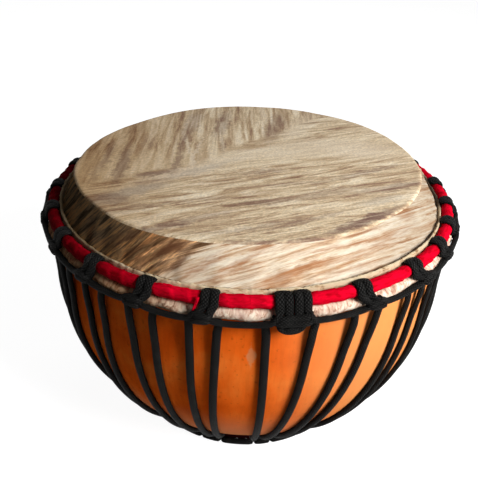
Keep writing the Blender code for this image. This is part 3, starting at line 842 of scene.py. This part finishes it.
def make_winding(name, material, slot, node, centre, radius, turns, ridge, dent=0.0):
    """A cloth strip wound round a ring, each turn lapping over the last."""
    count = turns * 10
    sides = 20
    rows = []
    for i in range(count):
        azimuth = 360.0 * i / count
        low = dent * bell(nearest_loop(azimuth) / 2.3, 4)
        row = []
        for j in range(sides):
            angle = math.tau * j / sides
            lap = (turns * i / count + j / sides) % 1.0
            step = lap ** 1.6 if lap < 0.93 else (1 - lap) / 0.07
            crumple = noise.noise(Vector((azimuth * 0.9, cos(angle), sin(angle)))) * 0.35
            crumple += noise.noise(Vector((azimuth * 2.7, 2 * cos(angle), 2 * sin(angle)))) * 0.2
            reach = radius - low + ridge * (step - 0.35 + crumple)
            height = centre[1] + reach * sin(angle)
            row.append(tuple(place(azimuth, centre[0] + reach * cos(angle), height)))
        rows.append(row)
    us = [math.tau * centre[0] * i / count for i in range(count + 1)]
    vs = [math.tau * radius * j / sides for j in range(sides + 1)]
    add_piece(lattice(name, rows, us, vs, True, True), material, slot, node)


def make_tail(material):
    """Loose end of the red strip, hanging beside a loop."""
    rows = []
    for i in range(13):
        share = i / 12
        row = []
        for across in (-1.0, -0.5, 0.0, 0.5, 1.0):
            width = 0.0012 * (1 - 0.5 * share)
            out = WRAP_OUT - 0.0002 + 0.0014 * sin(share * 2.2) + 0.0004 * across * sin(6 * share)
            along = across * width + 0.0020 - 0.0026 * share ** 1.5
            row.append(tuple(near_ring(TAIL_AZIMUTH, along, out, 0.0030 - 0.0094 * share)))
        rows.append(row)
    us = [0.0011 * i for i in range(14)]
    obj = lattice("cloth_tail", rows, us, [0.0, 0.001, 0.002, 0.003, 0.004], False, False)
    thick = obj.modifiers.new("thick", "SOLIDIFY")
    thick.thickness = 0.0006
    thick.offset = 1.0
    add_piece(obj, material, "red_cloth")


# Cords

BOWL = bowl_line(6)
BASE_CENTRE = lifted(BOWL[-1], BASE_OUT + 2 * GAP + 2 * CORD)
BASE_WRAP = (BASE_CENTRE[0] + 0.0003, BASE_CENTRE[1] - 0.0005)
BAR_OUT = 0.0008
BAR_DROP = HOOP_DROP + HOOP_OUT + GAP + CORD
RUN_OUT = BAR_OUT + 2 * CORD + 1.5 * GAP
RUN_DROP = BAR_DROP - 0.0056


def side_ease(azimuth):
    """How far out and up the crown cord stands from the ring round the two sides."""
    turn = folded(azimuth)
    share = held((abs(turn) - 48) / 22) * held((150 - abs(turn)) / 25)
    sag = 0.0016 * bell((turn + 1) / 15)
    return (0.0016 if turn > 0 else 0.0008) * share, 0.0030 * share - sag


def loop_points(azimuth, left, right):
    """One loop over the crown ring, from its left run to its right one."""
    half = 0.00275 if left and right else 0.0026
    close = PRESSED + LOOP_THIN
    lean = LEAN * pulls(azimuth)[0]
    out, rise = side_ease(azimuth)
    points = []
    for side, spread in ((-1, left), (1, right)):
        leg = [near_ring(azimuth + lean, side * (half + spread), RUN_OUT + out, rise - RUN_DROP)]
        middle = 0.5 * rise - HOOP_DROP + 0.0014
        stand = RUN_OUT + 0.0003 + 0.8 * out
        leg.append(near_ring(azimuth + 0.8 * lean, side * (half + 0.40 * spread), stand, middle))
        leg.append(near_ring(azimuth + 0.3 * lean, side * half, HOOP_OUT + 0.0018, -0.0050))
        for turn in (-5, 28, 60, 92, 118):
            angle = radians(turn)
            leg.append(near_ring(azimuth, side * half, close * cos(angle), close * sin(angle)))
        points += leg if side < 0 else leg[::-1]
    return points


def loop_shape(point):
    """Crown cord lies flat where it goes over the ring, and is round below it."""
    radius = math.hypot(point.x, point.y)
    out = Vector((point.x, point.y, 0.0)) / radius
    rise = point.z - RING_HEIGHT
    facing = out * (radius - RING_RADIUS) + Vector((0.0, 0.0, rise))
    share = held((rise + 0.0095) / 0.0065)
    share = share * share * (3 - 2 * share)
    slim = 0.0005 * held((point.x - 0.030) / 0.070) * (1 - share)
    return facing, 0.00245 + 0.00040 * share - slim, 0.0020 + (LOOP_THIN - 0.0020) * share


def slimness(x):
    """How much thinner the body lacing is at the right end of the drum."""
    return 0.0003 * held((x - 0.085) / 0.040)


def lace_shape(point):
    """Body lacing lies a little flat on the shell, and rounder where it turns under the bottom ring."""
    radius = math.hypot(point.x, point.y)
    out = Vector((point.x, point.y, 0.0)) / radius
    facing = out * max(0.05, radius - 0.085) + Vector((0.0, 0.0, min(0.0, point.z - 0.13)))
    share = held((point.z - 0.035) / 0.030)
    top = held((RING_HEIGHT - BAR_DROP - point.z) / 0.006)
    slim = slimness(point.x) * share * top
    turn = 0.0003 * held((0.022 - point.z) / 0.006)
    return facing, CORD + 0.00035 * share * top - slim + turn, CORD - 0.0004 * share * top - slim


def make_crown_cord(material):
    """The cord over the crown ring, from one end under the double loop round to the other."""
    places = loop_azimuths()
    azimuths = [places[0] + FIRST_LOOP] + places[1:] + [places[0] + 360 + LAST_LOOP]
    points = []
    last = len(azimuths) - 1
    for i, azimuth in enumerate(azimuths):
        left = 0.0 if i == 0 else LEG_SPREAD
        right = 0.0 if i == last else LEG_SPREAD
        points += loop_points(azimuth, left, right)
    line = curved(points, 0.0014)
    add_piece(cord_piece("crown_lace", line, CORD, 12, shape=loop_shape), material, "cord", "crown_cord")
    return azimuths


def make_bars(material, azimuths):
    """Turns of cord across the legs of each loop."""
    groups = [[a] for a in azimuths[1:-1]] + [[azimuths[-1] - 360, azimuths[0]]]
    for number, group in enumerate(groups, 1):
        middle = sum(group) / len(group)
        lean = LEAN * pulls(middle)[0]
        ease, rise = side_ease(middle)
        reach = 0.0053 + (DOUBLE_EXTRA if len(group) > 1 else 0.0)
        for level, (drop, out, thick) in enumerate(CROSS_TURNS):
            at = middle + (0.65 + 0.25 * level) * lean
            points = []
            for share in (-1.0, -0.92, -0.6, -0.2, 0.2, 0.6, 0.92, 1.0):
                tuck = 0.0040 * max(0.0, (abs(share) - 0.55) / 0.45) ** 2
                tip = 0.0005 * share * (1 if (number + level) % 2 else -1)
                wide = reach + 0.0010 * level
                height = -drop + 0.8 * rise + tip
                points.append(near_ring(at, share * wide, out - 0.2 * ease - tuck, height))
            name = f"cross_turn_{number:02d}_{level + 1}"
            piece = cord_piece(name, curved(points, 0.0012), thick, 10, taper=True)
            add_piece(piece, material, "cord")


def pulls(station):
    """How far a station's strands are moved round at their top and at their bottom, in degrees."""
    for front, upper, lower in zip(FRONT_STATIONS, UPPER_PULLS, LOWER_PULLS):
        if abs(front - folded(station)) < 0.1:
            return upper, lower
    return 0.0, 0.0


def strand(station, side):
    """One strand of lacing from the bar under a loop to the run on the bottom ring."""
    double = abs(station - DOUBLE_STATION) < 1e-6
    upper, lower = pulls(station)
    top = station + upper + side * (DOUBLE_PAIR_SPREAD if double else PAIR_SPREAD)
    bottom = station + lower + side * BASE_SPREAD
    route = [(RING_RADIUS + BAR_OUT - 0.0006, RING_HEIGHT - BAR_DROP + 0.0007)]
    route += [(RING_RADIUS + BAR_OUT + 0.0009, RING_HEIGHT - BAR_DROP - 0.008)]
    for point in BOWL[4:]:
        slim = slimness(point[0] * sin(radians(top)))
        route.append(lifted(point, CORD - 0.0005 - slim))
    first = route[0][1]
    last = BASE_CENTRE[1]
    points = []
    sway = noise.noise(Vector((station, side, 0.5))) * 0.5
    for radius, height in route:
        share = (first - height) / (first - last)
        bow = sway * sin(math.pi * min(1.0, share))
        points.append(place(top + (bottom - top) * share + bow, radius, height))
    contact = math.pi - KNUCKLE_END
    close = BASE_OUT + CORD + 0.0002
    for i in range(1, 8):
        angle = contact + radians(HOOK_TURN * i / 7)
        height = BASE_WRAP[1] + close * sin(angle)
        points.append(place(bottom, BASE_WRAP[0] + close * cos(angle), height))
    return points


def along_base(start, end):
    """Points between two pairs of strands, along the front of the bottom ring."""
    first = math.degrees(math.atan2(start.x, -start.y))
    turn = (math.degrees(math.atan2(end.x, -end.y)) - first) % 360
    reach = math.hypot(start.x, start.y)
    return [place(first + turn * i / 5, reach, start.z) for i in range(1, 5)]


def make_lacing(material):
    """The body lacing, in one piece from the back of the drum round to the back again."""
    places = loop_azimuths()
    split = min(range(len(places)), key=lambda i: abs(places[i] - 180)) + 1
    points = []
    for station in places[split:] + places[:split]:
        down = strand(station, -1)[::-1]
        if points:
            points += along_base(points[-1], down[0])
        points += down + strand(station, 1)
    middle = (points[0] + points[-1]) / 2
    line = curved([middle] + points + [middle.copy()], 0.0026)
    add_piece(cord_piece("body_lace", line, CORD, 12, shape=lace_shape), material, "cord", "lacing_cord")
    return middle, (points[-1] - points[0]).normalized()


def make_crown_knot(material):
    """Doubled bight hanging under the double loop."""
    for number, (radius, out) in enumerate(((0.0062, 0.0065), (0.0024, 0.0072)), 1):
        points = []
        for i in range(13):
            angle = math.pi + math.pi * i / 12
            along = radius * cos(angle) * 1.05
            rise = -RUN_DROP - 0.0030 + radius * sin(angle) * 0.66
            points.append(near_ring(DOUBLE_STATION, along, out, rise))
        piece = cord_piece(f"crown_knot_{number}", curved(points, 0.001), CORD, 12)
        add_piece(piece, material, "cord", *(["crown_knot"] if number == 1 else []))


def make_lacing_knot(material, middle, along):
    """Overhand knot that joins the two ends of the lacing at the back."""
    out = Vector((middle.x, middle.y, 0)).normalized()
    up = along.cross(out).normalized()
    points = []
    for i in range(49):
        turn = math.tau * i / 48 * 3
        swell = 0.0026 + 0.0006 * cos(2 * turn)
        step = 0.0042 * cos(turn / 3 * 2)
        points.append(middle + along * step + out * swell * cos(turn) + up * swell * sin(turn))
    knot = cord_piece("tie_knot", curved(points, 0.001), 0.0018, 10, taper=True)
    add_piece(knot, material, "cord", "lacing_knot")


# Stage

def seen_rays(tree):
    """1 for rays from the camera, also by way of metal or glass, and 0 for all others."""
    path = tree.nodes.new("ShaderNodeLightPath")
    seen = path.outputs["Is Camera Ray"]
    for name in ("Is Glossy Ray", "Is Transmission Ray"):
        both = tree.nodes.new("ShaderNodeMath")
        both.operation = "MAXIMUM"
        tree.links.new(seen, both.inputs[0])
        tree.links.new(path.outputs[name], both.inputs[1])
        seen = both.outputs[0]
    return seen


def make_stage():
    """White paper under and behind the drum, and the lamps."""
    corners = [[(-6, -6, 0), (-6, 6, 0)], [(6, -6, 0), (6, 6, 0)]]
    floor = lattice("floor", corners, [0, 1], [0, 1], False, False)
    p = Paint("floor_paper", Roughness=0.95, Specular_IOR_Level=0.1)
    patches = p.noise(p.where()[0], 3.0, 2.0)
    tone = p.ramp(patches, (0.3, (0.41, 0.41, 0.41)), (0.7, (0.43, 0.43, 0.43)))
    p.shader.inputs["Emission Color"].default_value = (1, 1, 1, 1)
    p.put(p.shader.inputs["Emission Strength"], p.times(seen_rays(p.tree), 0.94))
    floor.data.materials.append(p.finish(tone))
    world = bpy.data.worlds.new("backdrop")
    bpy.context.scene.world = world
    world.use_nodes = True
    tree = world.node_tree
    back = tree.nodes["Background"]
    back.inputs[0].default_value = (1, 1, 1, 1)
    level = tree.nodes.new("ShaderNodeMapRange")
    level.inputs["To Min"].default_value = 0.04
    level.inputs["To Max"].default_value = 1.0
    tree.links.new(seen_rays(tree), level.inputs["Value"])
    tree.links.new(level.outputs[0], back.inputs[1])
    lamps = (
        ("key", (0.63, -0.535, 0.62), 0.42, 12.0),
        ("fill", (0.2, -1.7, 0.7), 1.4, 0.15),
        ("rim", (0.6, 1.2, 1.1), 0.9, 3.0),
    )
    for name, spot, size, power in lamps:
        data = bpy.data.lights.new(name, "AREA")
        data.size = size
        data.energy = power
        lamp = bpy.data.objects.new(name, data)
        lamp.location = spot
        way = Vector((0, 0, 0.12)) - Vector(spot)
        lamp.rotation_euler = way.to_track_quat("-Z", "Y").to_euler()
        bpy.context.scene.collection.objects.link(lamp)
    bpy.context.scene.view_settings.view_transform = "Standard"


def main():
    make_camera()
    black = braid()
    red = cloth("red_strip", (0.46, 0.0008, 0.008), (0.86, 0.0012, 0.024))
    # painted shade: the bottom ring's red strip is painted near black, as it lies in shade under the cords
    shaded_red = cloth("shaded_red_strip", (0.004, 0.0005, 0.001), (0.035, 0.002, 0.004))
    rod = steel()
    for node in ("crown_ring", "flesh_hoop", "bottom_ring"):
        obj = bpy.data.objects[node]
        for slot in obj.material_slots:
            slot.material = rod
    make_shell(lacquer())
    make_head(head_skin(), collar_skin(), lip_skin(), hair_skin())
    ring = (RING_RADIUS, RING_HEIGHT)
    make_winding("red_winding", red, "red_cloth", "crown_ring_wrap", ring, 0.0042, 84, 0.0006, 0.0011)
    make_winding("maroon_winding", shaded_red, "dark_cloth", "bottom_ring_wrap", BASE_WRAP, 0.0026, 70, 0.0003)
    make_tail(red)
    azimuths = make_crown_cord(black)
    make_bars(black, azimuths)
    make_crown_knot(black)
    middle, along = make_lacing(black)
    make_lacing_knot(black, middle, along)
    make_stage()


main()
